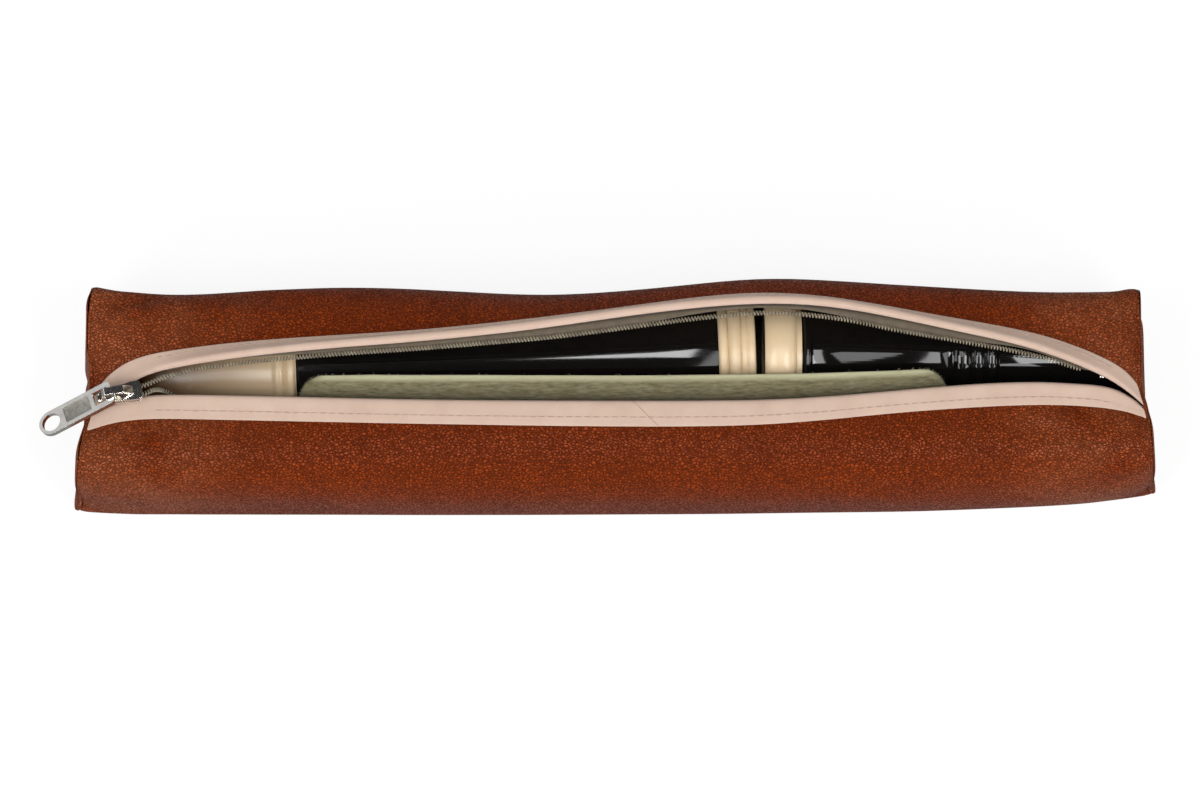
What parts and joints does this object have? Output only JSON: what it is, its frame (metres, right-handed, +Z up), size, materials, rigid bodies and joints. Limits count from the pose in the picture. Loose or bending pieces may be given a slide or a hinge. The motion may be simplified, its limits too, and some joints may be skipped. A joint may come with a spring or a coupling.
{
  "type": "alto recorder in zip case",
  "caption": "Alto recorder taken apart in a soft zip case, its mouth pulled open, with head, middle and foot joints.",
  "frame": {"origin": "centre of the case's flat bottom", "axes": "+X along the case towards the end where the foot joint lies, +Y to the rear side with the raised lip, +Z up"},
  "size_m": [0.3203, 0.0633, 0.0583],
  "materials": {
    "tan_leathercloth": "pebbled, semi-gloss",
    "tan_leathercloth_ends": "pebbled, semi-gloss",
    "beige_binding": "matte woven",
    "olive_grey_tape": "matte woven",
    "grey_coil": "satin",
    "beige_thread": "matte thread",
    "nickel": "polished nickel plate",
    "pale_green_felt": "felt",
    "ivory_plastic": "gloss",
    "black_plastic": "gloss"
  },
  "bodies": {
    "case": {"wrap_panel": "tan_leathercloth", "end_panel_left": "tan_leathercloth_ends", "end_panel_right": "tan_leathercloth_ends", "binding_front": "beige_binding", "binding_rear": "beige_binding", "zip_tape_front": "olive_grey_tape", "zip_tape_rear": "olive_grey_tape", "zip_coil_front": "grey_coil", "zip_coil_rear": "grey_coil", "stitching_front": "beige_thread", "stitching_rear": "beige_thread", "top_stop_front": "nickel", "top_stop_rear": "nickel", "bottom_stop": "nickel", "felt_divider": "pale_green_felt"},
    "slider": {"slider_body": "nickel", "slider_crown": "nickel"},
    "pull_tab": {"pull_tab": "nickel"},
    "head_joint": {"beak_cap": "ivory_plastic", "head_tube": "black_plastic", "windway_block": "ivory_plastic", "head_ring": "ivory_plastic"},
    "middle_joint": {"middle_tube": "black_plastic"},
    "foot_joint": {"foot_tube": "black_plastic", "foot_ring": "ivory_plastic"}
  },
  "joints": [
    {"name": "zip_slide", "type": "slide", "parent": "case", "child": "slider", "axis": [1, 0, 0], "range_m": [0, 0.27], "deforming": ["zip_coil_front", "zip_coil_rear", "zip_tape_front", "zip_tape_rear"]},
    {"name": "tab_swing", "type": "hinge", "parent": "slider", "child": "pull_tab", "pos_m": [-0.14325, -0.00351, 0.0445], "axis": [-0.3171, 0.8713, -0.3746], "range_deg": [0, 120]},
    {"name": "head_roll", "type": "hinge", "parent": "case", "child": "head_joint", "pos_m": [0.0402, 0.01342, 0.0175], "axis": [0.9994, 0.0349, 0], "continuous": true},
    {"name": "middle_slide", "type": "slide", "parent": "case", "child": "middle_joint", "axis": [1, 0, 0], "range_m": [-0.022, 0.01]},
    {"name": "foot_roll", "type": "hinge", "parent": "case", "child": "foot_joint", "pos_m": [0.0429, 0.01281, 0.0183], "axis": [1, 0, 0], "continuous": true}
  ]
}
